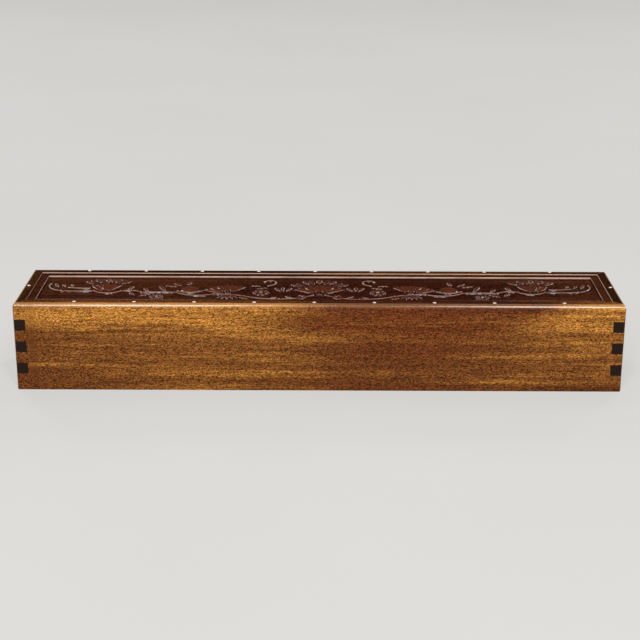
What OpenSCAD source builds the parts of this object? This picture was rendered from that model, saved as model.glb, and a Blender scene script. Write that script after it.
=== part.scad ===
// Wooden scroll box: finger-jointed walls, a pinned rim and a carved lid that slides out at the right end.
// X runs along the box, Y from front to back and Z up. The origin is under the box's middle, on the table.

/* [Box] */
// Overall length, along X
box_l = 510; // [320:1:800]
// Overall depth, front to back
box_d = 96; // [76:1:180]
// Overall height, table to the top of the rim
box_h = 77; // [55:1:160]
// Thickness of the four walls, and width of the rim on them
wall_t = 10; // [9.5:0.5:14]
// Radius of the upright outer corners
corner_r = 2; // [0.5:0.25:3]

/* [Finger joints] */
// Fingers up each corner, an odd number: the long walls own the first and the last
finger_n = 7; // [5:2:9]
// Extra height of the lowest finger, which hides the bottom board's groove
base_finger_extra = 4.8; // [4:0.2:8]

/* [Bottom board] */
// Thickness of the bottom board
bottom_t = 6; // [4:0.5:8]
// Height of the board's underside above the table
bottom_lift = 4; // [3:0.5:6]
// How far the groove goes into the walls
bottom_groove = 4; // [2.5:0.5:5]
// Room at the board's edges for the wood to move
bottom_gap = 0.5; // [0.2:0.1:0.8]

/* [Rim] */
// Thickness of the rim strips on top of the walls
rim_t = 5; // [4.5:0.25:8]
// Radius of the rim's outer edge
rim_outer_r = 4; // [2:0.25:4.25]
// Radius of the rim's inner edge
rim_inner_r = 1.5; // [0.5:0.25:2]

/* [Pins] */
// Diameter of the pins that hold the rim down
pin_d = 3; // [2:0.25:3.5]
// How far a rim pin goes into the wall below the rim
pin_bite = 10; // [6:0.5:18]
// How far the lid's own pin goes into the lid board
lid_pin_bite = 3.2; // [2:0.1:3.8]
// Height of a pin's domed head above the rim
pin_dome = 0.5; // [0.1:0.05:0.8]
// Radial room round a pin in its hole
pin_fit = 0.03; // [0.02:0.01:0.1]
// Pins along each long side
pins_long = 9; // [3:1:15]
// Distance of the first and the last pin from the box's ends
pin_end = 51; // [20:1:80]
// Gap before the last pin, because the pins are stepped off from the left end
pin_last_gap = 58; // [15:1:80]

/* [Lid] */
// Thickness of the lid's tongue, which slides under the rim
tongue_t = 4; // [3:0.25:6]
// Depth of the rebate in the walls for the tongue
rebate_w = 3; // [2:0.25:3.25]
// Side clearance of the lid
lid_gap = 0.3; // [0.2:0.05:0.5]
// Clearance above and below the tongue
lid_play = 0.2; // [0.1:0.05:0.4]
// Depth of the lid's flat border below the top of the rim
border_drop = 2; // [1.5:0.25:2.5]
// Width of the flat border outside the bead
border_w = 5.2; // [3:0.1:9]
// Depth of the carved ground below the border
ground_drop = 1.4; // [0.75:0.05:1.75]
// Width of the bead that frames the ground
bead_w = 1.8; // [1.2:0.1:2.4]
// Height of the bead above the border
bead_rise = 0.8; // [0.6:0.1:1]
// Width of the flat left on the bead's crest between its rounds
bead_land = 0.2; // [0.1:0.05:0.5]

/* [Carving] */
// Height of the leaves above the ground
leaf_rise = 1.5; // [0.8:0.1:1.8]
// Height of the petals above the ground
petal_rise = 1.8; // [0.8:0.1:2]
// Thickness of the round stems
stem_d = 2.4; // [1.6:0.1:3]
// Height of the stems' middle above the ground
stem_lift = 0.3; // [0:0.1:0.6]
// Diameter of the knots where stems join
knot_d = 3.6; // [2.8:0.1:4.5]

/* [Hidden] */
$fn = 64;
// Overshoot of cutting tools past the faces that they cut
cut = 1;

wall_h = box_h - rim_t;
inner_l = box_l - 2 * wall_t;
inner_d = box_d - 2 * wall_t;
finger_h = (wall_h - base_finger_extra) / finger_n;

// Pins: along the middle of the rim
pin_r = pin_d / 2;
pin_inset = wall_t / 2;
pin_pitch = (box_l - 2 * pin_end - pin_last_gap) / (pins_long - 2);
rim_pin_len = rim_t + pin_bite;
lid_pin_len = rim_t - lid_play + lid_pin_bite;

// Levels of the lid and its track
ledge_z = wall_h - tongue_t - 2 * lid_play;
tongue_z = ledge_z + lid_play;
seat_z = wall_h + lid_play;
border_z = box_h - border_drop;
ground_z = border_z - ground_drop;
root_z = (tongue_z + ground_z) / 2;
bead_r = (bead_w - bead_land) / 2;
bead_z = border_z + bead_rise - bead_r;

// Plan of the lid board and of the bead on it
board_half_d = inner_d / 2 - lid_gap;
board_left = -inner_l / 2 + lid_gap;
tongue_half_d = board_half_d + rebate_w;
tongue_left = board_left - rebate_w;
bead_l = inner_l - 2 * border_w;
bead_d = inner_d - 2 * border_w;

// The vine on the drawing of the carving's right half: where it starts by the middle lotus, its knots
// and its end, and how far each stem between them swells
vine_start = [5, -17];
vine_knots = [
    [34, -28], [64, -20], [90, -14.5], [122, -11], [152, -11], [170, -8], [193, -7.5], [221, -7.5]
];
vine_end = [233, 12];
vine_bows = [-3, -2.5, 1, -6, 1, 3.5, -5.5, -0.6, -5];
vine_way = concat([vine_start], vine_knots, [vine_end]);
// Bare ground that the drawing leaves past the vine's end and below its lowest knot
vine_end_gap = 5;
vine_side_gap = 3;

// Half length and half depth of the drawing's field, which is stretched to the real one
drawn_half_l = max([for (at = vine_way) at.x]) + vine_end_gap;
drawn_half_d = max([for (at = vine_way) abs(at.y)]) + vine_side_gap;
stretch_l = (bead_l / 2 - bead_w) / drawn_half_l;
stretch_d = (bead_d / 2 - bead_w) / drawn_half_d;
// How far the carved forms are rooted below the ground
carving_root = 0.2;
// Where a lotus's petals start and end, from its base
lotus_heart = 5.5;
lotus_reach = 26;
// Length of the crown's leaves, the gap under them, and the height of the point that they spread from
crown_l = 13;
crown_gap = 1.5;
crown_lift = 9;

wall_wood = "#8f5f2b";
rim_wood = "#7a4a22";
lid_wood = "#4b2a1b";
pin_metal = "#d8d2c8";

// Height of a finger's lower edge; finger 0 starts at the table
function finger_z(i) = base_finger_extra + i * finger_h;

// Place on the lid of a point of the drawing
function spot(p) = [p.x * stretch_l, p.y * stretch_d];

// Direction at an angle
function heading(angle) = [cos(angle), sin(angle)];

// Copies a child to both ends of the box
module both_ends() {
    for (flip = [0, 1]) mirror([flip, 0, 0]) children();
}

// Copies a child to the front and the back of the box
module both_sides() {
    for (flip = [0, 1]) mirror([0, flip, 0]) children();
}

// What rounding the four upright corners takes away
module corner_waste() {
    both_ends() both_sides() translate([-box_l / 2, -box_d / 2, -cut]) difference() {
        translate([-cut, -cut, 0]) cube([corner_r + cut, corner_r + cut, box_h + 2 * cut]);
        translate([corner_r, corner_r, -cut]) cylinder(r = corner_r, h = box_h + 4 * cut);
    }
}

// The end walls' fingers at the left end, lengthened by reach past the outer faces to cut their sockets
module left_fingers(reach = 0) {
    for (i = [1 : 2 : finger_n - 2])
        translate([-box_l / 2 - reach, -box_d / 2 - reach, finger_z(i)])
            cube([wall_t + reach, box_d + 2 * reach, finger_h]);
}

// The groove round the four walls for the bottom board
module bottom_groove_space() {
    translate([-inner_l / 2 - bottom_groove, -inner_d / 2 - bottom_groove, bottom_lift])
        cube([inner_l + 2 * bottom_groove, inner_d + 2 * bottom_groove, bottom_t]);
}

// The rebate that the lid's tongue runs in, closed at the left end and open at the right
module lid_track_space() {
    translate([-inner_l / 2 - rebate_w, -inner_d / 2 - rebate_w, ledge_z])
        cube([inner_l / 2 + rebate_w + box_l / 2 + cut, inner_d + 2 * rebate_w, wall_h - ledge_z + cut]);
}

// A pin of the given length below the rim's top, with a shallow domed head above it
module pin(len) {
    dome_r = (pin_r * pin_r + pin_dome * pin_dome) / (2 * pin_dome);
    color(pin_metal) {
        translate([0, 0, -len]) cylinder(r = pin_r, h = len);
        intersection() {
            cylinder(r = pin_r, h = 2 * pin_dome);
            translate([0, 0, pin_dome - dome_r]) sphere(dome_r);
        }
    }
}

// The hole that a pin is driven into
module pin_hole(len) {
    translate([0, 0, -len]) cylinder(r = pin_r + pin_fit, h = len + cut);
}

// Places of the pins along the front strip
module at_front_pins() {
    first = -box_l / 2 + pin_end;
    for (x = [for (i = [0 : pins_long - 2]) first + i * pin_pitch, box_l / 2 - pin_end])
        translate([x, -box_d / 2 + pin_inset, box_h]) children();
}

// Place of the single pin on the left strip
module at_left_pin() {
    translate([-box_l / 2 + pin_inset, 0, box_h]) children();
}

// Place of the single pin on the right strip
module at_lid_pin() {
    mirror([1, 0, 0]) at_left_pin() children();
}

// Section of a rim strip: a large round on the outer top edge and a small one on the inner.
// Lift raises its underside clear of the wall.
module rim_section(lift) {
    difference() {
        translate([0, lift]) square([wall_t, rim_t - lift]);
        translate([rim_outer_r, rim_t - rim_outer_r]) mirror([1, 0]) edge_waste(rim_outer_r);
        translate([wall_t - rim_inner_r, rim_t - rim_inner_r]) edge_waste(rim_inner_r);
    }
}

// A rim strip along X with its outer lower edge on the X axis and its width in +Y, mitred at both ends.
// Mitre_gap stays free square to each mitre.
module rim_strip(len, lift = 0, mitre_gap = 0) {
    half = len / 2 - mitre_gap * sqrt(2);
    intersection() {
        rotate([90, 0, 90]) linear_extrude(len, center = true) rim_section(lift);
        translate([0, 0, -cut])
            linear_extrude(rim_t + 2 * cut)
                polygon([[-half, 0], [half, 0], [half - wall_t, wall_t], [-half + wall_t, wall_t]]);
    }
}

// What rounding an edge takes away from a section, with the round's centre at the origin
module edge_waste(r) {
    difference() {
        square(r + cut);
        circle(r);
    }
}

// A long wall at the front
module long_wall() {
    color(wall_wood) difference() {
        translate([-box_l / 2, -box_d / 2, 0]) cube([box_l, wall_t, wall_h]);
        both_ends() left_fingers(cut);
        bottom_groove_space();
        lid_track_space();
        at_front_pins() pin_hole(rim_pin_len);
        corner_waste();
    }
}

module front_wall() {
    long_wall();
}

module back_wall() {
    mirror([0, 1, 0]) long_wall();
}

// An end wall at the left end, as high as given
module end_wall(height) {
    difference() {
        union() {
            translate([-box_l / 2, -inner_d / 2, 0]) cube([wall_t, inner_d, height]);
            left_fingers();
        }
        bottom_groove_space();
        corner_waste();
    }
}

module left_end_wall() {
    color(wall_wood) difference() {
        end_wall(wall_h);
        lid_track_space();
        at_left_pin() pin_hole(rim_pin_len);
    }
}

// The right end wall stops at the track's ledge, so that the lid slides out over it
module right_end_wall() {
    color(wall_wood) mirror([1, 0, 0]) end_wall(ledge_z);
}

module bottom_board() {
    reach = bottom_groove - bottom_gap;
    color(wall_wood) translate([-inner_l / 2 - reach, -inner_d / 2 - reach, bottom_lift])
        cube([inner_l + 2 * reach, inner_d + 2 * reach, bottom_t]);
}

// A rim strip along a long wall, at the front
module long_rim() {
    color(rim_wood) difference() {
        translate([0, -box_d / 2, wall_h]) rim_strip(box_l);
        at_front_pins() pin_hole(rim_pin_len);
        corner_waste();
    }
}

module front_rim() {
    long_rim();
}

module back_rim() {
    mirror([0, 1, 0]) long_rim();
}

module left_rim() {
    color(rim_wood) difference() {
        translate([-box_l / 2, 0, wall_h]) rotate([0, 0, -90]) rim_strip(box_d);
        at_left_pin() pin_hole(rim_pin_len);
        corner_waste();
    }
}

module front_rim_pins() {
    at_front_pins() pin(rim_pin_len);
}

module back_rim_pins() {
    mirror([0, 1, 0]) front_rim_pins();
}

module left_rim_pin() {
    at_left_pin() pin(rim_pin_len);
}

// Section across the raised field that the bead edges, with the bead's outer rounds
module field_section(width) {
    difference() {
        translate([-width / 2, root_z]) square([width, bead_z + bead_r - root_z]);
        for (flip = [0, 1])
            mirror([flip, 0]) translate([width / 2 - bead_r, bead_z]) edge_waste(bead_r);
    }
}

// Section across the sunk ground, which flares out over the bead's inner rounds
module ground_section(width) {
    difference() {
        translate([-width / 2 - bead_r, ground_z]) square([width + 2 * bead_r, box_h - ground_z]);
        for (flip = [0, 1]) mirror([flip, 0]) translate([width / 2 + bead_r, 0]) {
            translate([0, bead_z]) circle(bead_r);
            translate([-bead_r, ground_z - cut]) square([2 * bead_r, bead_z - ground_z + cut]);
        }
    }
}

// The block where a section along X and a section along Y cross, so that their edges meet in mitres.
// The children are the section across the depth and the section across the length.
module crossed_sections() {
    intersection() {
        rotate([90, 0, 90]) linear_extrude(box_l, center = true) children(0);
        rotate([90, 0, 0]) linear_extrude(box_d, center = true) children(1);
    }
}

// The slab over the ground that the carved forms are cut to
module carving_slab(half_l, half_d) {
    translate([-half_l, -half_d, -carving_root])
        cube([2 * half_l, 2 * half_d, carving_root + petal_rise + cut]);
}

// A keeled leaf between two places on the lid, where two balls overlap above the ground.
// Its keel is an arc over the line from base to tip, half_w is the most that it spreads to each side.
module blade(base, tip, half_w, rise) {
    run = tip - base;
    half_l = norm(run) / 2;
    side_r = (half_l * half_l + half_w * half_w) / (2 * half_w);
    ball_drop = (half_l * half_l - rise * rise) / (2 * rise);
    middle = (base + tip) / 2;
    translate([middle.x, middle.y, ground_z]) rotate(atan2(run.y, run.x)) intersection() {
        intersection_for (side = [-1, 1])
            translate([0, side * (side_r - half_w), -ball_drop]) sphere(norm([side_r, ball_drop]));
        carving_slab(half_l * 1.5, half_w * 2);
    }
}

// A leaf between two points of the drawing
module leaf(base, tip, half_w) {
    blade(spot(base), spot(tip), half_w * stretch_d, leaf_rise);
}

// Petals that spread from a point of the drawing between two angles, each from the inner to the outer reach
module fan(base, from, to, count, inner, outer, half_w) {
    for (i = [0 : count - 1]) {
        way = heading(from + (to - from) * i / (count - 1)) * stretch_d;
        blade(spot(base) + way * inner, spot(base) + way * outer, half_w * stretch_d, petal_rise);
    }
}

// A rounded boss on the ground
module boss(at, r, rise) {
    half_w = r * stretch_d;
    ball_r = (half_w * half_w + rise * rise) / (2 * rise);
    translate([spot(at).x, spot(at).y, ground_z]) intersection() {
        translate([0, 0, rise - ball_r]) sphere(ball_r);
        carving_slab(half_w * 1.5, half_w * 1.5);
    }
}

// A round stem along an arc between two points of the drawing, which swells by bow to the left of its way
module stem(start, end, bow) {
    a = spot(start);
    b = spot(end);
    half_l = norm(b - a) / 2;
    sag = bow * stretch_d;
    arc_r = (half_l * half_l + sag * sag) / (2 * abs(sag));
    half_turn = asin(half_l / arc_r);
    translate([(a.x + b.x) / 2, (a.y + b.y) / 2, ground_z + stem_lift])
        rotate(atan2(b.y - a.y, b.x - a.x) + (sag > 0 ? 90 : -90))
            translate([abs(sag) - arc_r, 0, 0])
                rotate(-half_turn) rotate_extrude(angle = 2 * half_turn)
                    translate([arc_r, 0]) circle(d = stem_d);
}

// A knot where stems join
module knot(at) {
    translate([spot(at).x, spot(at).y, ground_z]) sphere(d = knot_d);
}

// The vine along the right half of the lid, from the middle to the sprig at the end, and a tendril
module vine() {
    tendril = [[44.5, 8], [38, 15.5], [47.5, 19]];
    for (i = [0 : len(vine_bows) - 1]) stem(vine_way[i], vine_way[i + 1], vine_bows[i]);
    stem([198, -0.5], [216, 1.5], -0.8);
    stem(tendril[0], tendril[1], 1.5);
    stem(tendril[1], tendril[2], 5.2);
    for (at = concat(vine_knots, [tendril[1], tendril[2]])) knot(at);
}

// Leaves along the vine
module leaves() {
    leaf([50, 8], [60, 9], 1.7);
    leaf([55, 0.5], [44.5, 4], 1.9);
    leaf([43, -25.5], [35.5, -21.5], 1.7);
    leaf([69, -21.5], [58, -28.5], 2.1);
    leaf([114.5, 9.5], [112, 21], 2.2);
    leaf([118.5, 7.5], [127, 17], 2.2);
    leaf([131, -7.5], [139, 11], 2.4);
    leaf([143.5, -13.5], [154, -20], 2.2);
    leaf([146, -7.8], [151, 3], 2.2);
    leaf([162.5, -8.8], [157, -18], 2.2);
    leaf([165, -4], [160.5, 8], 2.2);
    leaf([225, 3], [229.5, 16], 2);
    leaf([219, 3.5], [222.5, 12.5], 1.9);
    leaf([212.5, 4.5], [215, 12.5], 1.8);
}

// Lotus seen from the side, with a crown of leaves over it
module lotus(base, half_spread, petals, half_w, crown_spread, crown_leaves) {
    crown_start = lotus_reach + crown_gap - crown_lift;
    fan(base, 90 - half_spread, 90 + half_spread, petals, lotus_heart, lotus_reach, half_w);
    fan(base + [0, crown_lift], 90 - crown_spread, 90 + crown_spread, crown_leaves,
        crown_start, crown_start + crown_l, 2.6);
}

// Small open flower
module rosette(at, r, petals) {
    fan(at, 0, 360 - 360 / petals, petals, 0.38 * r, r, 0.24 * r);
    boss(at, 0.28 * r, petal_rise);
}

// Peony seen from the side, with long petals above its stem and short ones below
module peony(base) {
    fan(base, 22, 128, 6, 6, 24, 2.3);
    boss(base, 3, petal_rise);
    fan(base - [0, 3], 225, 315, 5, 3, 13, 1.35);
}

// Round fruit in a calyx
module fruit(at, r) {
    boss(at, r, petal_rise);
    stem(at + [-r - 2, -6], at + [r + 2, -5.5], -4.5);
}

// The carving: a lotus in the middle, and to each side a vine with a trefoil leaf, a rosette, a peony,
// a fruit, a small flower and a second lotus
module carving() {
    lotus([0, -13], 60, 5, 3.4, 55, 5);
    boss([0, -15], 3, petal_rise);
    both_ends() {
        vine();
        leaves();
        fan([31, -11], 65, 115, 3, 5, 18, 2.1);
        rosette([50, -10], 8, 6);
        peony([78, -12.5]);
        fruit([111, -1], 8.5);
        rosette([138, -22], 7, 5);
        lotus([184, -11], 30, 3, 3.2, 20, 3);
    }
}

// The lid board: a tongue all round, a raised middle with a bead round its sunk ground,
// and a seat for the end strip
module lid_panel() {
    color(lid_wood) {
        lid_board();
        carving();
    }
}

// The lid without its carving
module lid_board() {
    difference() {
        union() {
            translate([tongue_left, -tongue_half_d, tongue_z])
                cube([box_l / 2 - tongue_left, 2 * tongue_half_d, tongue_t]);
            translate([board_left, -board_half_d, tongue_z])
                cube([box_l / 2 - board_left, 2 * board_half_d, seat_z - tongue_z]);
            translate([board_left, -board_half_d, tongue_z])
                cube([inner_l / 2 - board_left, 2 * board_half_d, border_z - tongue_z]);
            crossed_sections() {
                field_section(bead_d);
                field_section(bead_l);
            }
        }
        crossed_sections() {
            ground_section(bead_d - 2 * bead_w);
            ground_section(bead_l - 2 * bead_w);
        }
        at_lid_pin() pin_hole(lid_pin_len);
    }
}

module lid_end_rim() {
    color(rim_wood) difference() {
        translate([box_l / 2, 0, wall_h]) rotate([0, 0, 90]) rim_strip(box_d, lid_play, lid_gap);
        at_lid_pin() pin_hole(lid_pin_len);
        corner_waste();
    }
}

module lid_pin() {
    at_lid_pin() pin(lid_pin_len);
}

front_wall();
back_wall();
left_end_wall();
right_end_wall();
bottom_board();
front_rim();
back_rim();
left_rim();
front_rim_pins();
back_rim_pins();
left_rim_pin();
lid_panel();
lid_end_rim();
lid_pin();
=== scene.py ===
import math

import bmesh
import bpy
import numpy as np
from mathutils import Matrix, Vector


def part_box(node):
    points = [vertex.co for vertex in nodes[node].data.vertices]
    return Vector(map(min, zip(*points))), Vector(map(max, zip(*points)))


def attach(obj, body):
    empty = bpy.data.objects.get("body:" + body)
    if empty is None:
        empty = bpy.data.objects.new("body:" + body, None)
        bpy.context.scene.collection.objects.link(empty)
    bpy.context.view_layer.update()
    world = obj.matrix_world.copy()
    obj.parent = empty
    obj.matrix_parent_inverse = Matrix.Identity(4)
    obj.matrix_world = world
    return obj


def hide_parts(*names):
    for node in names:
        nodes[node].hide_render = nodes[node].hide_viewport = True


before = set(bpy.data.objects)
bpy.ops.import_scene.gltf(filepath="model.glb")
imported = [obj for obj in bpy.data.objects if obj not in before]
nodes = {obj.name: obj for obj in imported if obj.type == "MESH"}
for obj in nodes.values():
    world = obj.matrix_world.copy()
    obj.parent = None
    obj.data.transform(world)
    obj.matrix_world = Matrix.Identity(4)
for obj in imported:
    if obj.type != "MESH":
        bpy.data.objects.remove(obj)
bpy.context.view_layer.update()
RIM_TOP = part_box("front_rim")[1].z

MM = 0.001
TINY = 1e-6

# The camera, fitted to the box's corners in the photograph: image width and focal length in pixels,
# the rest in metres and degrees
IMAGE_PX = 640
FOCAL_PX = 1458
SENSOR_MM = 36
CAMERA_AT = Vector((0.00595, -1.19288, 0.46357))
CAMERA_PITCH = math.radians(19.275)
CAMERA_YAW = math.radians(-0.258)
CAMERA_ROLL = math.radians(0.136)

# The carved lid, in millimetres
LID_GAP = 0.3
LID_PLAY = 0.2
BORDER_DROP = 2.0
BORDER_W = 5.2
GROUND_DROP = 1.4
BEAD_W = 1.8
BEAD_R = 0.8
# Where across the bead its worn inner slope with a painted highlight starts and is full, as shares of its
# width, and how strong it is at the lid's ends
BEAD_HIGHLIGHT = (0.45, 0.8)
END_BEAD_HIGHLIGHT = 0.6
FIELD_STEP = 0.33
BEAD_STEP = 0.16
BORDER_STEP = 1.0
LID_TRIANGLES = 190000
# How far under the ground a point still counts as the lid's top
TOP_MARGIN = 1
# Edges sharper than this, in degrees, stay sharp, and points nearer than this, in metres, become one
SHARP_EDGE = 65
WELD = 1e-7

# The carving is drawn on a field of this half length and half depth, and stretched to the real one
DRAWN_HALF = (238, 31)

# Forms of the carving, in millimetres
LEAF_RISE = 1.5
BACK_LEAF_RISE = 1.1
PETAL_RISE = 1.8
BACK_PETAL_RISE = 1.4
STEM_D = 2.4
STEM_LIFT = 0.3
KNOT_D = 3.6
LEAF_BOW = 0.6
SCALLOP_L = 3.2
MIDRIB_DEPTH = 0.35
MIDRIB_W = 0.35
VEIN_DEPTH = 0.2
PETAL_LINE_W = 1.1
PETAL_LINE_DEPTH = 0.12
OUTLINE_DEPTH = 0.3
# The rise at which a form counts as whole, so that the sunk line round it ends
WHOLE_RISE = 0.4
# How much a petal's middle is dished, as a share of its rise
PETAL_DISH = 0.4
BACK_PETAL_DISH = 0.25
# How wide a leaf is between its scallops, and how deep they cut, as shares of its plain width
LEAF_SWELL = 1.1
SCALLOP_CUT = 0.25
# How far a leaf falls off to its edges, as a share of its rise
LEAF_KEEL = 0.35
# How a form rises from its ends: the smaller the power, the steeper
LEAF_END_POWER = 0.35
PETAL_END_POWER = 0.3
# How many grid cells round a point are averaged to smooth the forms, to spread the sunk line round them,
# and to find hollows and crests
FORM_CELLS = 1
OUTLINE_CELLS = 2
HOLLOW_CELLS = 3
CREST_CELLS = 5
# How much more a fine edge counts as a crest than a whole form does, and how much more a leaf is worn
# and given a painted highlight
EDGE_HIGHLIGHT = 1.3
LEAF_HIGHLIGHT = 0.13

# A lotus: where its petals start and end, how much further out its low petals do, and its crown's
# leaves, gap and point of spread
LOTUS_HEART = 5.5
LOTUS_REACH = 26
BACK_PETAL_START = 2
BACK_PETAL_REACH = 1
CROWN_L = 13
CROWN_HALF_W = 2.6
CROWN_GAP = 1.5
CROWN_LIFT = 9


def srgb(red, green, blue):
    """A colour given as 0 to 255 on screen, as the linear colour that a shader takes."""
    return [c / 12.92 if c <= 0.04045 else ((c + 0.055) / 1.055) ** 2.4
            for c in (red / 255, green / 255, blue / 255)] + [1]


# Shader nodes

def add_node(tree, kind, settings=None, **inputs):
    """Adds a node, sets its options, and sets or links its inputs."""
    made = tree.nodes.new(kind)
    for name, value in (settings or {}).items():
        setattr(made, name, value)
    for name, value in inputs.items():
        feed(tree, made.inputs[name.replace("_", " ")], value)
    return made


def feed(tree, socket, value):
    """Links a socket to an output, or sets it to a constant."""
    if isinstance(value, bpy.types.NodeSocket):
        tree.links.new(value, socket)
    else:
        socket.default_value = value


def grain(tree, place, along, across, detail=2.0, roughness=0.55, distortion=0.0):
    """Noise drawn out along the wood: how many features to the metre along it and across it."""
    stretched = add_node(tree, "ShaderNodeVectorMath", {"operation": "MULTIPLY"})
    feed(tree, stretched.inputs[0], place)
    feed(tree, stretched.inputs[1], (along, across, across))
    noise = add_node(
        tree, "ShaderNodeTexNoise", Vector=stretched.outputs[0], Scale=1.0,
        Detail=detail, Roughness=roughness, Distortion=distortion)
    return noise.outputs["Fac"]


def remap(tree, value, low, high, to_low=0.0, to_high=1.0):
    """Stretches a value's range, clamped at both ends."""
    made = add_node(tree, "ShaderNodeMapRange", {"interpolation_type": "SMOOTHSTEP"}, Value=value)
    for name, number in (("From Min", low), ("From Max", high), ("To Min", to_low), ("To Max", to_high)):
        made.inputs[name].default_value = number
    return made.outputs["Result"]


def blend(tree, factor, first, second, mode="MIX"):
    """Blends two colours."""
    made = tree.nodes.new("ShaderNodeMix")
    made.data_type = "RGBA"
    made.blend_type = mode
    feed(tree, made.inputs[0], factor)
    feed(tree, made.inputs[6], first)
    feed(tree, made.inputs[7], second)
    return made.outputs[2]


def arithmetic(tree, operation, first, second):
    """One sum, product or the like of two values."""
    made = add_node(tree, "ShaderNodeMath", {"operation": operation})
    feed(tree, made.inputs[0], first)
    feed(tree, made.inputs[1], second)
    return made.outputs[0]


def new_material(name):
    """A material with a principled shader; returns the material, its tree and the shader."""
    material = bpy.data.materials.new(name)
    material.use_nodes = True
    tree = material.node_tree
    return material, tree, tree.nodes["Principled BSDF"]


# Materials

# How many features there are to the metre, along the grain and across it
ZONE_GRAIN = (3.4, 24)
BAND_GRAIN = (6, 150)
STREAK_GRAIN = (40, 1100)
FLECK_GRAIN = (850, 1800)
PORE_GRAIN = (640, 1800)
END_GRAIN = (1500, 1500)
HIGHLIGHT_PATCH_GRAIN = (30, 45)
SCRATCH_GRAIN = (900, 5200)
TARNISH_GRAIN = (700, 700)
MOTTLE_GRAIN = (3, 3)
# How often a board's colour drifts from golden to red and back, to the metre, and how much that counts
DRIFTS = 2.27
DRIFT_SHARE = 0.15
# Heights in metres between which a wall turns more golden towards its top
PALER_TOP = (0.041, 0.065)
# Depths under the rim's top between which its inner edge turns to worn wood with a painted highlight
ARRIS_DEPTHS = (1.2 * MM, 0.6 * MM)
# How deep pores and scratches lie in the surface, and how strongly they show in it
PORE_DEPTH = 0.15 * MM
PORE_STRENGTH = 0.25
SCRATCH_DEPTH = 0.05 * MM
SCRATCH_STRENGTH = 0.15
# How deep streaks lie, as a share of the pores' depth, and how much rougher pores are
STREAK_SHARE = 0.4
PORE_ROUGHNESS = 0.2

WALL_TONES = {
    "dark": srgb(73, 34, 11), "mid": srgb(105, 60, 23), "gold": srgb(186, 125, 50),
    "red": srgb(95, 46, 16), "pore": srgb(32, 16, 7), "end": srgb(32, 21, 13),
    "bare_highlight": srgb(196, 140, 68),
}
# The lid's tones: a darker stain, and painted shade for its dimly lit top
LID_STAIN_AND_SHADE_TONES = {
    "dark": srgb(27, 11, 6), "mid": srgb(48, 21, 10), "gold": srgb(78, 38, 18),
    "red": srgb(57, 22, 10), "pore": srgb(15, 7, 5), "end": srgb(30, 18, 11),
}
BOTTOM_TONES = {
    "dark": srgb(122, 82, 44), "mid": srgb(158, 112, 64), "gold": srgb(186, 140, 86),
    "red": srgb(150, 98, 56), "pore": srgb(90, 58, 32), "end": srgb(80, 56, 36),
}
# The carving's rubbed forms with painted light, the waxed crests' painted highlight, and the worn wood's
# painted highlight on edges and crests
RUBBED_AND_LIT = srgb(104, 46, 20)
WAX_HIGHLIGHT = srgb(196, 168, 150)
WORN_HIGHLIGHT = srgb(226, 190, 168)
BRIGHT_PIN = srgb(232, 208, 190)
TARNISHED_PIN = srgb(196, 168, 148)
PIN_METALLIC = 0.3
FLOOR_TONES = (srgb(212, 211, 208), srgb(217, 216, 214))
# How much paler a fleck and how much darker a pore is than the wood round it
FLECK_SHADE = (2.0, 2.1, 2.35, 1)
PORE_SHADE = (0.25, 0.22, 0.21, 1)
# How polished a piece is away from its rounded edges and its carving, as a share of its coat
DULL = 0.2
COAT_ROUGHNESS = 0.18


class Figure:
    """The wood's figure as shader values: zones, bands and streaks, and masks of flecks and pores."""

    def __init__(self, tree, place):
        run = add_node(tree, "ShaderNodeSeparateXYZ", Vector=place).outputs["X"]
        drift = arithmetic(tree, "SINE", arithmetic(tree, "MULTIPLY", run, 2 * math.pi * DRIFTS), 0)
        self.zones = arithmetic(
            tree, "ADD", grain(tree, place, *ZONE_GRAIN), arithmetic(tree, "MULTIPLY", drift, DRIFT_SHARE))
        # Bands and the worn edges' painted highlight show least in the red zones
        self.strength = remap(tree, self.zones, 0.36, 0.6, 0.3, 1.0)
        self.bands = grain(tree, place, *BAND_GRAIN, detail=3.0, roughness=0.6, distortion=0.3)
        self.streaks = grain(tree, place, *STREAK_GRAIN, detail=3.0, roughness=0.6)
        self.flecks = remap(tree, grain(tree, place, *FLECK_GRAIN, detail=1.0), 0.5, 0.62)
        self.pores = remap(tree, grain(tree, place, *PORE_GRAIN, detail=1.0), 0.51, 0.59)


def grain_color(tree, figure, height, tones):
    """Colour along the grain: red to golden zones, more golden higher up, bands, streaks, flecks and
    pores.
    """
    color = blend(tree, remap(tree, figure.zones, 0.3, 0.58), tones["red"], tones["mid"])
    color = blend(tree, remap(tree, figure.zones, 0.5, 0.76, 0.0, 0.15), color, tones["gold"])
    paler_top = arithmetic(
        tree, "MULTIPLY", remap(tree, figure.zones, 0.34, 0.68), remap(tree, height, *PALER_TOP, 0.0, 0.88))
    color = blend(tree, paler_top, color, tones["gold"])
    pale_bands = remap(tree, figure.bands, 0.48, 0.74, 0.0, 0.55)
    dark_bands = remap(tree, figure.bands, 0.24, 0.5, 0.8, 0.0)
    for bands, tone in ((pale_bands, "gold"), (dark_bands, "dark")):
        color = blend(tree, arithmetic(tree, "MULTIPLY", bands, figure.strength), color, tones[tone])
    color = blend(tree, remap(tree, figure.streaks, 0.3, 0.6, 0.65, 0.0), color, tones["dark"])
    color = blend(tree, figure.flecks, color, FLECK_SHADE, "MULTIPLY")
    return blend(tree, figure.pores, color, PORE_SHADE, "MULTIPLY")


def with_end_grain(tree, color, across, place, tones):
    """Puts dark, speckled end grain on the faces that lie across the wood."""
    speckle = grain(tree, place, *END_GRAIN)
    end_color = blend(tree, remap(tree, speckle, 0.4, 0.65, 0.0, 0.5), tones["end"], tones["pore"])
    return blend(tree, remap(tree, across, 0.6, 0.9), color, end_color)


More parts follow.
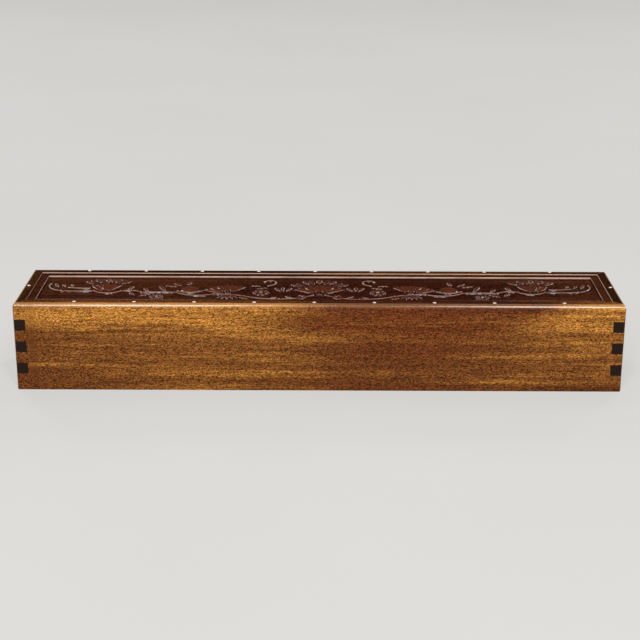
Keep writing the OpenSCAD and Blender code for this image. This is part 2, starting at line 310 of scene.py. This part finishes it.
def rim_shade_and_highlight(tree, color, rim, normal, height, strength, bare_highlight):
    """A rim's colour: painted shade where it doesn't look outward, and worn paler with a painted highlight
    on its rounded and inner edges.

    Also gives how far each point is on the rounded edge.
    """
    outward, shade, wear_and_highlight = rim
    turned = add_node(tree, "ShaderNodeVectorMath", {"operation": "DOT_PRODUCT"})
    feed(tree, turned.inputs[0], normal)
    feed(tree, turned.inputs[1], outward)
    turn = turned.outputs["Value"]
    # Painted shade on the rim's top and inner faces, which don't look outward
    shaded = blend(tree, 1.0, color, list(shade) + [1], "MULTIPLY")
    color = blend(tree, remap(tree, turn, 0.3, 0.8), shaded, color)
    # Worn, paler rounded edge, partly a painted highlight
    upward = add_node(tree, "ShaderNodeSeparateXYZ", Vector=normal).outputs["Z"]
    edge = arithmetic(tree, "MULTIPLY", turn, upward)
    worn_edge_highlight = arithmetic(tree, "MULTIPLY", remap(tree, edge, 0.25, 0.5, 0.0, 0.55), strength)
    color = blend(tree, worn_edge_highlight, color, bare_highlight)
    # The inner edge's worn, pale line is a painted highlight too
    low, high = (RIM_TOP - depth for depth in ARRIS_DEPTHS)
    arris_highlight = arithmetic(
        tree, "MULTIPLY", remap(tree, turn, -0.5, -0.9), remap(tree, height, low, high, 0.0, wear_and_highlight))
    return blend(tree, arris_highlight, color, WORN_HIGHLIGHT), edge


def carving_wax_and_light(tree, color, place, hollow_shade):
    """A carving's colour: redder and painted lighter where it rises, painted shade in its hollows,
    and pale waxed crests with a painted highlight.

    Also gives its rise and its crests.
    """
    rise = add_node(tree, "ShaderNodeAttribute", {"attribute_name": "rise"}).outputs["Fac"]
    crest = add_node(tree, "ShaderNodeAttribute", {"attribute_name": "crest"}).outputs["Fac"]
    # Redder and paler where the carving rises: rubbed, and partly painted light on the raised forms
    color = blend(tree, remap(tree, rise, 0.4, 1.4, 0.0, 0.6), color, RUBBED_AND_LIT)
    # Painted shade: darker in the carving's hollows
    color = blend(tree, remap(tree, crest, -0.06, -0.4, 0.0, 0.9), color, hollow_shade)
    # Pale waxed crests: a painted highlight that stands in for glints
    highlight_patches = remap(tree, grain(tree, place, *HIGHLIGHT_PATCH_GRAIN), 0.36, 0.56, 0.4, 0.75)
    wax_highlight_mask = arithmetic(tree, "MULTIPLY", remap(tree, crest, 0.36, 0.7), highlight_patches)
    color = blend(tree, wax_highlight_mask, color, WAX_HIGHLIGHT)
    # The highest crests are worn paler still, also a painted highlight
    return blend(tree, remap(tree, crest, 0.75, 1.0, 0.0, 0.4), color, WORN_HIGHLIGHT), rise, crest


def wood(name, tones, along="X", shift=(0, 0, 0), rim=None, roughness=0.42, gloss=0.06, coat=0.04,
         carved=False):
    """Waxed open-pored wood, with its grain along the given axis and dark end grain across it.

    A rim is given as the way it looks, the painted shade of its other faces and the worn, painted
    highlight of its inner edge.
    A rim is most polished on its rounded edge, and a carved piece where it rises.
    """
    material, tree, shader = new_material(name)
    where = add_node(tree, "ShaderNodeTexCoord")
    moved = add_node(tree, "ShaderNodeMapping", Vector=where.outputs["Object"], Location=shift)
    if along == "Y":
        moved.inputs["Rotation"].default_value = (0, 0, math.radians(90))
    place, normal = moved.outputs[0], where.outputs["Normal"]
    height = add_node(tree, "ShaderNodeSeparateXYZ", Vector=where.outputs["Object"]).outputs["Z"]
    facing = add_node(tree, "ShaderNodeSeparateXYZ", Vector=normal)
    across = arithmetic(tree, "ABSOLUTE", facing.outputs[along], 0)

    figure = Figure(tree, place)
    color = with_end_grain(tree, grain_color(tree, figure, height, tones), across, place, tones)
    rough = arithmetic(tree, "ADD", roughness, remap(tree, figure.bands, 0.3, 0.7, 0.06, -0.04))
    rough = arithmetic(tree, "ADD", rough, arithmetic(tree, "MULTIPLY", figure.pores, PORE_ROUGHNESS))
    polish = coat
    if rim:
        color, edge = rim_shade_and_highlight(tree, color, rim, normal, height, figure.strength, tones["bare_highlight"])
        polish = remap(tree, edge, 0.1, 0.4, DULL * coat, coat)
    if carved:
        color, rise, crest = carving_wax_and_light(tree, color, place, tones["pore"])
        rough = arithmetic(tree, "ADD", rough, remap(tree, crest, -0.3, 0.7, 0.12, -0.08))
        polish = remap(tree, rise, 0.15, 0.6, DULL * coat, coat)

    shallow = arithmetic(tree, "MULTIPLY", figure.streaks, STREAK_SHARE)
    hollow = arithmetic(tree, "ADD", shallow, figure.pores)
    bump = add_node(
        tree, "ShaderNodeBump", {"invert": True},
        Strength=PORE_STRENGTH, Distance=PORE_DEPTH, Height=hollow)
    feed(tree, shader.inputs["Base Color"], color)
    feed(tree, shader.inputs["Roughness"], rough)
    feed(tree, shader.inputs["Normal"], bump.outputs[0])
    feed(tree, shader.inputs["Coat Weight"], polish)
    shader.inputs["Specular IOR Level"].default_value = gloss
    shader.inputs["Coat Roughness"].default_value = COAT_ROUGHNESS
    return material


def polished_pin(name):
    """Silvery metal, filed to a low dome by hand, with a little tarnish."""
    material, tree, shader = new_material(name)
    where = add_node(tree, "ShaderNodeTexCoord").outputs["Object"]
    scratches = grain(tree, where, *SCRATCH_GRAIN, detail=3.0, roughness=0.6)
    tarnish = grain(tree, where, *TARNISH_GRAIN)
    color = blend(tree, remap(tree, tarnish, 0.45, 0.75), BRIGHT_PIN, TARNISHED_PIN)
    feed(tree, shader.inputs["Base Color"], color)
    feed(tree, shader.inputs["Roughness"], remap(tree, scratches, 0.3, 0.7, 0.3, 0.48))
    shader.inputs["Metallic"].default_value = PIN_METALLIC
    bump = add_node(
        tree, "ShaderNodeBump", Strength=SCRATCH_STRENGTH, Distance=SCRATCH_DEPTH, Height=scratches)
    feed(tree, shader.inputs["Normal"], bump.outputs[0])
    return material


def floor_finish(name, glow):
    """Plain pale matt floor with a faint mottle, part of whose paleness is its own where it is seen."""
    material, tree, shader = new_material(name)
    where = add_node(tree, "ShaderNodeTexCoord").outputs["Object"]
    mottle = grain(tree, where, *MOTTLE_GRAIN, detail=3.0, roughness=0.5)
    color = blend(tree, mottle, *FLOOR_TONES)
    feed(tree, shader.inputs["Base Color"], color)
    feed(tree, shader.inputs["Roughness"], remap(tree, mottle, 0.2, 0.8, 0.75, 0.85))
    rays = add_node(tree, "ShaderNodeLightPath")
    seen = rays.outputs["Is Camera Ray"]
    for kind in ("Is Glossy Ray", "Is Transmission Ray"):
        seen = arithmetic(tree, "MAXIMUM", seen, rays.outputs[kind])
    own_light = add_node(tree, "ShaderNodeEmission", Color=color, Strength=1.0)
    mixed = add_node(tree, "ShaderNodeMixShader")
    feed(tree, mixed.inputs[0], arithmetic(tree, "MULTIPLY", seen, glow))
    feed(tree, mixed.inputs[1], shader.outputs[0])
    feed(tree, mixed.inputs[2], own_light.outputs[0])
    feed(tree, tree.nodes["Material Output"].inputs["Surface"], mixed.outputs[0])
    return material


# The carving: a relief on a grid, built from stems, leaves, petals and bosses

def heading(angle):
    """Direction at an angle in degrees."""
    return np.array((math.cos(math.radians(angle)), math.sin(math.radians(angle))))


class Relief:
    """Carving height in millimetres over its ground, and worn painted-highlight share, on lines along X
    and Y.
    """

    def __init__(self, x_lines, y_lines):
        self.x_lines, self.y_lines = x_lines, y_lines
        self.height = np.zeros((len(x_lines), len(y_lines)))
        self.wear_and_highlight = np.zeros_like(self.height)

    def patch(self, low, high):
        """The part of the grid between two corners: its slice and its coordinates."""
        i = np.searchsorted(self.x_lines, (low[0], high[0]))
        j = np.searchsorted(self.y_lines, (low[1], high[1]))
        x, y = np.meshgrid(self.x_lines[i[0]:i[1]], self.y_lines[j[0]:j[1]], indexing="ij")
        return np.s_[i[0]:i[1], j[0]:j[1]], x, y

    def raise_to(self, part, inside, rise, wear_and_highlight=0.0):
        """Raises a patch to a form's height and painted-highlight share where the form is there and is
        higher.
        """
        higher = inside & (rise > self.height[part])
        self.height[part] = np.where(higher, rise, self.height[part])
        self.wear_and_highlight[part] = np.where(higher, wear_and_highlight, self.wear_and_highlight[part])

    def blade(self, base, tip, half_w, bow=0.0):
        """The plan of a pointed blade between two arcs, bent aside by bow.

        Gives its slice, the way along it from -1 to 1, the distance aside and the half width there.
        """
        base, tip = np.array(base, float), np.array(tip, float)
        middle = (base + tip) / 2
        half_l = np.linalg.norm(tip - base) / 2
        way = (tip - base) / (2 * half_l)
        part, x, y = self.patch(middle - half_l - 1, middle + half_l + 1)
        along = ((x - middle[0]) * way[0] + (y - middle[1]) * way[1]) / half_l
        aside = (y - middle[1]) * way[0] - (x - middle[0]) * way[1] - bow * (1 - along ** 2)
        arc_r = (half_l ** 2 + half_w ** 2) / (2 * half_w)
        half = np.sqrt(np.clip(arc_r ** 2 - (along * half_l) ** 2, 0, None)) - arc_r + half_w
        return part, along, aside, np.where(np.abs(along) < 1, half, 0)

    def leaf(self, base, tip, half_w, rise=LEAF_RISE):
        """A keeled leaf with a scalloped edge, a sunk midrib and side veins."""
        bow = LEAF_BOW if tip[0] < base[0] else -LEAF_BOW
        part, along, aside, half = self.blade(base, tip, half_w, bow)
        scallops = math.dist(base, tip) / (2 * SCALLOP_L)
        half = half * (LEAF_SWELL - SCALLOP_CUT * np.abs(np.sin(np.pi * scallops * along)))
        across = np.abs(aside) / np.maximum(half, TINY)
        crown = np.clip(1 - along ** 2, 0, 1) ** LEAF_END_POWER
        rise = rise * crown * (1 - LEAF_KEEL * np.clip(across, 0, 1) ** 1.5)
        rise = rise - MIDRIB_DEPTH * np.exp(-(aside / MIDRIB_W) ** 2)
        rise = rise - VEIN_DEPTH * np.cos(np.pi * (scallops * along - 0.5 * across)) ** 8
        self.raise_to(part, across < 1, rise, LEAF_HIGHLIGHT)

    def back_leaf(self, base, tip, half_w):
        """A low leaf that shows between the front ones."""
        self.leaf(base, tip, half_w, BACK_LEAF_RISE)

    def petal(self, base, tip, half_w, rise=PETAL_RISE, dish=PETAL_DISH):
        """A petal with a raised rim round a dished middle that has fine lines."""
        part, along, aside, half = self.blade(base, tip, half_w)
        across = np.abs(aside) / np.maximum(half, TINY)
        crown = np.clip(1 - along ** 2, 0, 1) ** PETAL_END_POWER
        rise = rise * crown * (1 - dish * np.clip(1 - across ** 2, 0, 1) * crown)
        rise = rise - PETAL_LINE_DEPTH * np.cos(np.pi * aside / PETAL_LINE_W) ** 6
        self.raise_to(part, across < 1, rise)

    def back_petal(self, base, tip, half_w):
        """A low petal that shows between the front ones."""
        self.petal(base, tip, half_w, BACK_PETAL_RISE, BACK_PETAL_DISH)

    def fan(self, form, base, start, stop, count, inner, outer, half_w):
        """Petals or leaves that spread from a point, between two angles and two reaches."""
        for angle in np.linspace(start, stop, count):
            form(base + heading(angle) * inner, base + heading(angle) * outer, half_w)

    def boss(self, at, radius, rise):
        """A rounded boss with a steep edge."""
        part, x, y = self.patch(np.subtract(at, radius), np.add(at, radius))
        across = np.hypot(x - at[0], y - at[1]) / radius
        self.raise_to(part, across < 1, rise * np.clip(1 - across ** 2, 0, 1) ** 0.6)

    def stem(self, start, end, bow):
        """A round stem along an arc, which swells by bow to the left of its way."""
        start, end = np.array(start, float), np.array(end, float)
        half_l = np.linalg.norm(end - start) / 2
        way = (end - start) / (2 * half_l)
        side = np.array((-way[1], way[0])) * math.copysign(1, bow)
        arc_r = (half_l ** 2 + bow ** 2) / (2 * abs(bow))
        centre = (start + end) / 2 + side * (abs(bow) - arc_r)
        reach = abs(bow) + STEM_D
        part, x, y = self.patch(np.minimum(start, end) - reach, np.maximum(start, end) + reach)
        out = (x - centre[0]) * side[0] + (y - centre[1]) * side[1]
        along = (x - centre[0]) * way[0] + (y - centre[1]) * way[1]
        on_arc = np.abs(np.arctan2(along, out)) < math.asin(half_l / arc_r)
        from_ends = np.minimum(
            np.hypot(x - start[0], y - start[1]), np.hypot(x - end[0], y - end[1]))
        off = np.where(on_arc, np.abs(np.hypot(along, out) - arc_r), from_ends)
        radius = STEM_D / 2
        rise = STEM_LIFT + np.sqrt(np.clip(radius ** 2 - off ** 2, 0, None))
        self.raise_to(part, off < radius, rise)

    def knot(self, at):
        """A knot where stems join."""
        self.boss(at, KNOT_D / 2, KNOT_D / 2)

    def lotus(self, base, half_spread, petals, half_w, crown_spread, crown_leaves):
        """A lotus seen from the side, with a crown of leaves over it."""
        base = np.array(base, float)
        step = half_spread / (petals - 1)
        self.fan(self.back_petal, base, 90 - half_spread + step, 90 + half_spread - step, petals - 1,
                 LOTUS_HEART + BACK_PETAL_START, LOTUS_REACH + BACK_PETAL_REACH, half_w)
        self.fan(self.petal, base, 90 - half_spread, 90 + half_spread, petals,
                 LOTUS_HEART, LOTUS_REACH, half_w)
        crown_start = LOTUS_REACH + CROWN_GAP - CROWN_LIFT
        between = crown_spread - crown_spread / (crown_leaves - 1)
        for form, spread, leaves in (
            (self.leaf, crown_spread, crown_leaves), (self.back_leaf, between, crown_leaves - 1),
        ):
            self.fan(form, base + (0, CROWN_LIFT), 90 - spread, 90 + spread, leaves,
                     crown_start, crown_start + CROWN_L, CROWN_HALF_W)

    def rosette(self, at, radius, petals):
        """A small open flower round a boss."""
        at = np.array(at, float)
        last = 360 - 360 / petals
        half_turn = 180 / petals
        self.fan(self.back_petal, at, half_turn, last + half_turn, petals,
                 0.4 * radius, 0.95 * radius, 0.22 * radius)
        self.fan(self.petal, at, 0, last, petals, 0.34 * radius, radius, 0.27 * radius)
        self.boss(at, 0.28 * radius, PETAL_RISE)

    def peony(self, base):
        """A peony seen from the side, with long petals above its stem and short ones below."""
        base = np.array(base, float)
        self.fan(self.back_petal, base, 33, 117, 5, 8, 25, 2.6)
        self.fan(self.petal, base, 22, 128, 6, 6, 24, 2.3)
        self.fan(self.petal, base - (0, 3), 225, 315, 5, 3, 13, 1.35)
        self.boss(base, 3, PETAL_RISE)

    def fruit(self, at, radius):
        """A round fruit with a cleft, in a calyx."""
        at = np.array(at, float)
        self.boss(at, radius, PETAL_RISE)
        part, x, y = self.patch(at - radius, at + radius)
        cleft = np.hypot(x - at[0] - radius, y - at[1]) - 1.25 * radius
        self.height[part] = self.height[part] - MIDRIB_DEPTH * np.exp(-(cleft / MIDRIB_W) ** 2)
        self.stem(at + (-radius - 2, -6), at + (radius + 2, -5.5), -4.5)


def carve_vine(relief):
    """The vine along the lid's right half, from the middle to the end, with a sprig and a tendril."""
    vine = (
        (5, -17), (34, -28), (64, -20), (90, -14.5), (122, -11), (152, -11), (170, -8), (193, -7.5),
        (221, -7.5), (233, 12),
    )
    sprig = ((198, -0.5), (216, 1.5))
    tendril = ((44.5, 8), (38, 15.5), (47.5, 19))
    for joints, bows in (
        (vine, (-3, -2.5, 1, -6, 1, 3.5, -5.5, -0.6, -5)), (sprig, (-0.8,)), (tendril, (1.5, 5.2)),
    ):
        for start, end, bow in zip(joints, joints[1:], bows):
            relief.stem(start, end, bow)
    for at in vine[1:-1] + tendril[1:]:
        relief.knot(at)


def carve_leaves(relief):
    """Leaves along the vine: where each starts and ends, and its half width."""
    for base, tip, half_w in (
        ((50, 8), (60, 9), 1.7), ((55, 0.5), (44.5, 4), 1.9), ((43, -25.5), (35.5, -21.5), 1.7),
        ((69, -21.5), (58, -28.5), 2.1), ((114.5, 9.5), (112, 21), 2.2), ((118.5, 7.5), (127, 17), 2.2),
        ((131, -7.5), (139, 11), 2.4), ((143.5, -13.5), (154, -20), 2.2), ((146, -7.8), (151, 3), 2.2),
        ((162.5, -8.8), (157, -18), 2.2), ((165, -4), (160.5, 8), 2.2), ((225, 3), (229.5, 16), 2),
        ((219, 3.5), (222.5, 12.5), 1.9), ((212.5, 4.5), (215, 12.5), 1.8), ((122, 5.5), (134, 9.5), 2),
        ((9, -20.5), (19, -16.5), 1.9), ((11, -22.5), (20, -29), 1.9), ((22, -24.5), (30, -19), 1.8),
    ):
        relief.leaf(base, tip, half_w)


def carve_flowers(relief):
    """The lotus in the middle, then a trefoil, a rosette, a peony, a fruit, a flower and a lotus."""
    relief.lotus((0, -13), 60, 5, 3.4, 55, 5)
    relief.boss((0, -15), 3, PETAL_RISE)
    relief.fan(relief.leaf, np.array((31, -11)), 65, 115, 3, 5, 18, 2.1)
    relief.rosette((50, -10), 8, 6)
    relief.peony((78, -12.5))
    relief.fruit((111, -1), 8.5)
    relief.rosette((138, -22), 7, 5)
    relief.lotus((184, -11), 30, 3, 3.2, 40, 5)


def soften(height, cells):
    """Averages a grid over a square of cells, edges held."""
    for axis in (0, 1):
        margins = [(cells + 1, cells) if a == axis else (0, 0) for a in (0, 1)]
        total = np.cumsum(np.pad(height, margins, mode="edge"), axis=axis)
        wide = 2 * cells + 1
        height = (np.take(total, range(wide, total.shape[axis]), axis) -
                  np.take(total, range(0, total.shape[axis] - wide), axis)) / wide
    return height


def carved_field(x_lines, y_lines):
    """The whole carving, mirrored about the middle: millimetres over the ground, and painted-highlight
    share.
    """
    relief = Relief(x_lines, y_lines)
    carve_vine(relief)
    carve_leaves(relief)
    carve_flowers(relief)
    wear_and_highlight = np.where(relief.height < relief.height[::-1], relief.wear_and_highlight[::-1], relief.wear_and_highlight)
    height = soften(np.maximum(relief.height, relief.height[::-1]), FORM_CELLS)
    covered = np.clip(height / WHOLE_RISE, 0, 1)
    spread = soften(soften(covered, OUTLINE_CELLS), OUTLINE_CELLS)
    return height - OUTLINE_DEPTH * spread * (1 - covered), wear_and_highlight


def crests(height):
    """How far each point stands over what is round it: above zero on a form, below it in a hollow."""
    over_near = height - soften(height, HOLLOW_CELLS)
    over_wide = height - soften(height, CREST_CELLS)
    return np.where(over_near > 0, np.maximum(over_wide, EDGE_HIGHLIGHT * over_near), over_near)


def bead_rise(inward):
    """Height of the bead over its border, at a distance inward from its outer edge."""
    from_edge = np.minimum(inward, BEAD_W - inward)
    round_part = np.sqrt(np.clip(BEAD_R ** 2 - (BEAD_R - np.clip(from_edge, 0, BEAD_R)) ** 2, 0, None))
    return np.where((inward > 0) & (inward < BEAD_W), round_part, 0)


def spaced(start, stop, step):
    """Evenly spaced lines from start to stop, both included."""
    return np.linspace(start, stop, max(2, round(abs(stop - start) / step) + 1))


def lid_lines(low_edge, high_edge, opening_low, opening_high):
    """Grid lines across the lid's board: close on the bead, fine on the field and wide on the border."""
    bead_low, bead_high = opening_low + BORDER_W, opening_high - BORDER_W
    return np.unique(np.concatenate([
        spaced(low_edge, bead_low, BORDER_STEP),
        spaced(bead_low, bead_low + BEAD_W, BEAD_STEP),
        spaced(bead_low + BEAD_W, bead_high - BEAD_W, FIELD_STEP),
        spaced(bead_high - BEAD_W, bead_high, BEAD_STEP),
        spaced(bead_high, high_edge, BORDER_STEP),
    ]).round(6))


def drawn(lines, half):
    """Lines of the field as places on the drawing, whose half size is given."""
    return (lines - (lines[0] + lines[-1]) / 2) * 2 * half / (lines[-1] - lines[0])


def carved_lid():
    """The lid board with its tongue, border, bead and carving, as one closed mesh."""
    plate_low, plate_high = (np.array(corner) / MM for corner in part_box("lid_panel"))
    opening_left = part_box("left_rim")[1].x / MM
    opening_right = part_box("lid_end_rim")[0].x / MM
    opening_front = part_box("front_rim")[1].y / MM
    opening_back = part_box("back_rim")[0].y / MM
    border_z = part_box("front_rim")[1].z / MM - BORDER_DROP
    ground_z = border_z - GROUND_DROP
    tongue_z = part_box("front_rim")[0].z / MM - LID_PLAY
    seat_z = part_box("lid_end_rim")[0].z / MM

    board_x = lid_lines(opening_left + LID_GAP, opening_right, opening_left, opening_right)
    board_y = lid_lines(opening_front + LID_GAP, opening_back - LID_GAP, opening_front, opening_back)
    inward_x = np.minimum(board_x - opening_left, opening_right - board_x)
    inward_y = np.minimum(board_y - opening_front, opening_back - board_y)
    inward = np.minimum(inward_x[:, None], inward_y[None, :]) - BORDER_W
    field_x = inward_x >= BORDER_W + BEAD_W - TINY
    field_y = inward_y >= BORDER_W + BEAD_W - TINY
    carving, form_wear_and_highlight = carved_field(
        drawn(board_x[field_x], DRAWN_HALF[0]), drawn(board_y[field_y], DRAWN_HALF[1]))
    field = np.ix_(field_x, field_y)
    bead = bead_rise(inward)
    top = border_z + bead
    top[field] = ground_z + carving
    rise = np.zeros_like(top)
    rise[field] = carving
    # The bead's worn inner slope is painted pale, a painted highlight, weaker at the lid's ends
    bead_highlight = np.where(inward_x[:, None] < inward_y[None, :], END_BEAD_HIGHLIGHT, 1)
    crest = np.where(bead > 0, bead_highlight * np.interp(inward / BEAD_W, BEAD_HIGHLIGHT, (0, 1)), 0)
    # Leaves and fine edges add to the crests, and so to their painted highlight
    crest[field] = crests(carving) + form_wear_and_highlight

    # Two lines on each side of the board's own make the tongue, and at the right the end strip's seat
    x = np.concatenate([[plate_low[0], board_x[0]], board_x, [board_x[-1], plate_high[0]]])
    y = np.concatenate([[plate_low[1], board_y[0]], board_y, [board_y[-1], plate_high[1]]])
    z = np.full((len(x), len(y)), tongue_z)
    z[2:-2, 2:-2] = top
    z[-2:, 2:-2] = seat_z

    piece = grid_solid("carved_lid", x * MM, y * MM, z * MM, plate_low[2] * MM)
    reduce_triangles(piece, LID_TRIANGLES)
    shade_smooth(piece, SHARP_EDGE)
    weigh_normals(piece)
    for name, values in (("rise", rise), ("crest", crest)):
        store_on_points(piece, name, x * MM, y * MM, np.pad(values, 2), (ground_z - TOP_MARGIN) * MM)
    return piece


def grid_solid(name, x, y, z, bottom_z):
    """A closed mesh under a grid of heights, where two lines at one place make an upright wall."""
    nx, ny = len(x), len(y)
    tops = np.column_stack([np.repeat(x, ny), np.tile(y, nx), z.ravel()])
    fronts = np.column_stack([x, np.full(nx, y[0]), np.full(nx, bottom_z)])
    backs = np.column_stack([x, np.full(nx, y[-1]), np.full(nx, bottom_z)])
    top = np.arange(nx * ny).reshape(nx, ny)
    front, back = nx * ny + np.arange(nx), nx * ny + nx + np.arange(nx)
    cells = np.stack([top[:-1, :-1], top[1:, :-1], top[1:, 1:], top[:-1, 1:]], axis=-1)
    faces = cells.reshape(-1, 4).tolist()
    faces += np.column_stack([front[:-1], front[1:], top[1:, 0], top[:-1, 0]]).tolist()
    faces += np.column_stack([back[1:], back[:-1], top[:-1, -1], top[1:, -1]]).tolist()
    faces += np.column_stack([front[1:], front[:-1], back[:-1], back[1:]]).tolist()
    faces.append([back[0], front[0], *top[0]])
    faces.append([front[-1], back[-1], *top[-1, ::-1]])
    mesh = bpy.data.meshes.new(name)
    mesh.from_pydata(np.vstack([tops, fronts, backs]).tolist(), [], faces)
    work = bmesh.new()
    work.from_mesh(mesh)
    bmesh.ops.remove_doubles(work, verts=work.verts, dist=WELD)
    bmesh.ops.triangulate(work, faces=work.faces)
    work.to_mesh(mesh)
    work.free()
    piece = bpy.data.objects.new(name, mesh)
    bpy.context.scene.collection.objects.link(piece)
    return piece


def reduce_triangles(piece, goal):
    """Collapses the flattest triangles until about goal are left."""
    if len(piece.data.polygons) <= goal:
        return
    thin = piece.modifiers.new("thin", "DECIMATE")
    thin.ratio = goal / len(piece.data.polygons)
    keep_modified(piece)


def keep_modified(piece):
    """Makes a piece's modifiers part of its mesh."""
    graph = bpy.context.evaluated_depsgraph_get()
    changed = bpy.data.meshes.new_from_object(piece.evaluated_get(graph))
    piece.modifiers.clear()
    piece.data = changed


def shade_smooth(piece, sharp_degrees):
    """Smooth shading that keeps edges sharper than an angle."""
    piece.data.shade_smooth()
    piece.data.set_sharp_from_angle(angle=math.radians(sharp_degrees))


def weigh_normals(piece):
    """Turns each point's shading to its largest faces, so that ground looks flat beside small forms."""
    piece.modifiers.new("weigh", "WEIGHTED_NORMAL").keep_sharp = True
    keep_modified(piece)


def store_on_points(piece, name, x, y, values, above):
    """Stores a grid's values on the mesh's points above a height, from the nearest lines."""
    mesh = piece.data
    points = np.empty(len(mesh.vertices) * 3)
    mesh.vertices.foreach_get("co", points)
    points = points.reshape(-1, 3)
    i = np.searchsorted((x[1:] + x[:-1]) / 2, points[:, 0])
    j = np.searchsorted((y[1:] + y[:-1]) / 2, points[:, 1])
    stored = np.where(points[:, 2] > above, values[i, j], 0)
    mesh.attributes.new(name, "FLOAT", "POINT").data.foreach_set("value", stored.astype(np.float32))


def dress(material, *names):
    """Gives CAD nodes a material."""
    for name in names:
        slots = nodes[name].data.materials
        slots.clear()
        slots.append(material)


# The pieces and their finishes
lid = carved_lid()
lid.data.materials.append(wood(
    "lid_wood", LID_STAIN_AND_SHADE_TONES, shift=(0.31, 0.07, 0.02), roughness=0.38, gloss=0.0, coat=0.75, carved=True))
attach(lid, "lid")
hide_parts("lid_panel")

# For each side: its wall and rim, its grain's axis and place, the way it looks, and the painted shade of
# the rim's other faces and the worn, painted highlight of its inner edge
SIDES = (
    ("front", "front_wall", "front_rim", "X", (0.24, 0, 0), (0, -1, 0), (0.46, 0.35, 0.29), 0.75),
    ("back", "back_wall", "back_rim", "X", (0.9, 0.3, 0.1), (0, 1, 0), (0.21, 0.16, 0.2), 0.75),
    ("left", "left_end_wall", "left_rim", "Y", (0.2, 0.5, 0.2), (-1, 0, 0), (0.13, 0.1, 0.14), 0.25),
    ("right", "right_end_wall", "lid_end_rim", "Y", (0.6, 0.1, 0.4), (1, 0, 0), (0.085, 0.07, 0.1), 0.55),
)
for side, wall, rim, along, shift, outward, shade, wear_and_highlight in SIDES:
    dress(wood(side + "_wall_wood", WALL_TONES, along, shift), wall)
    rim_wood = wood(
        side + "_rim_wood", WALL_TONES, along, shift, (outward, shade, wear_and_highlight), gloss=0.0, coat=1.0)
    dress(rim_wood, rim)
dress(wood("bottom_wood", BOTTOM_TONES, shift=(0.4, 0.8, 0.3), roughness=0.6, coat=0.0), "bottom_board")
dress(polished_pin("pin_metal"), "front_rim_pins", "back_rim_pins", "left_rim_pin", "lid_pin")


# The stage, the light and the camera

# Half the floor's width in metres, the share of its paleness that is its own, and the even light's
# colour and level
FLOOR_REACH = 15
FLOOR_GLOW = 0.75
WORLD_COLOR = (0.97, 0.98, 1.0, 1)
WORLD_LEVEL = 0.03
# Where all lamps aim, and each lamp's name, place, size and level
LAMP_AIM = (0, -0.05, 0.07)
LAMPS = (
    ("key_left", (-0.45, -1.65, 1.57), (0.45, 1.4), 0.62),
    ("key_right", (0.55, -1.65, 1.57), (0.38, 1.1), 0.48),
    ("front_fill", (-0.1, -3.0, 0.55), (2.2, 0.9), 0.12),
    ("left_fill", (-2.6, -0.3, 0.3), (1.2, 0.4), 0.36),
    ("right_fill", (2.6, -0.3, 0.3), (1.2, 0.4), 0.36),
    ("overhead", (0, 0.9, 2.3), (2.4, 1.0), 0.24),
    ("back_left_fill", (-1.6, 2.2, 1.6), (0.7, 0.7), 0.2),
    ("back_right_fill", (1.6, 2.2, 1.6), (0.7, 0.7), 0.2),
)


def plain_floor(reach, glow):
    """A wide pale floor under the box."""
    mesh = bpy.data.meshes.new("floor")
    corners = [(-reach, -reach, 0), (reach, -reach, 0), (reach, reach, 0), (-reach, reach, 0)]
    mesh.from_pydata(corners, [], [(0, 1, 2, 3)])
    floor = bpy.data.objects.new("floor", mesh)
    bpy.context.scene.collection.objects.link(floor)
    mesh.materials.append(floor_finish("floor", glow))


def softbox(name, at, aim, size, level):
    """An area lamp whose level is the share of plain light that it gives on a face turned to it."""
    lamp = bpy.data.lights.new(name, "AREA")
    lamp.shape = "RECTANGLE"
    lamp.size, lamp.size_y = size
    reach = (Vector(aim) - Vector(at)).length
    lamp.energy = level * (math.pi * reach) ** 2
    made = bpy.data.objects.new(name, lamp)
    made.location = at
    made.rotation_euler = (Vector(aim) - Vector(at)).to_track_quat("-Z", "Y").to_euler()
    made.visible_camera = False
    bpy.context.scene.collection.objects.link(made)


def studio_world(color, level):
    """Even light from all round."""
    world = bpy.data.worlds.new("studio")
    world.use_nodes = True
    background = world.node_tree.nodes["Background"]
    background.inputs["Color"].default_value = color
    background.inputs["Strength"].default_value = level
    bpy.context.scene.world = world


def photo_camera():
    """The camera at the photograph's place, angle and focal length."""
    cos_p, sin_p = math.cos(CAMERA_PITCH), math.sin(CAMERA_PITCH)
    forward = Vector((math.sin(CAMERA_YAW) * cos_p, math.cos(CAMERA_YAW) * cos_p, -sin_p))
    level_right = Vector((math.cos(CAMERA_YAW), -math.sin(CAMERA_YAW), 0))
    level_up = level_right.cross(forward)
    right = math.cos(CAMERA_ROLL) * level_right + math.sin(CAMERA_ROLL) * level_up
    up = math.cos(CAMERA_ROLL) * level_up - math.sin(CAMERA_ROLL) * level_right
    turn = Matrix((right, up, -forward)).transposed().to_4x4()
    data = bpy.data.cameras.new("camera")
    data.sensor_width = SENSOR_MM
    data.lens = FOCAL_PX / IMAGE_PX * SENSOR_MM
    camera = bpy.data.objects.new("camera", data)
    camera.matrix_world = Matrix.Translation(CAMERA_AT) @ turn
    bpy.context.scene.collection.objects.link(camera)
    bpy.context.scene.camera = camera


plain_floor(FLOOR_REACH, FLOOR_GLOW)
studio_world(WORLD_COLOR, WORLD_LEVEL)
for name, at, size, level in LAMPS:
    softbox(name, at, LAMP_AIM, size, level)
photo_camera()

bpy.context.scene.view_settings.view_transform = "Standard"
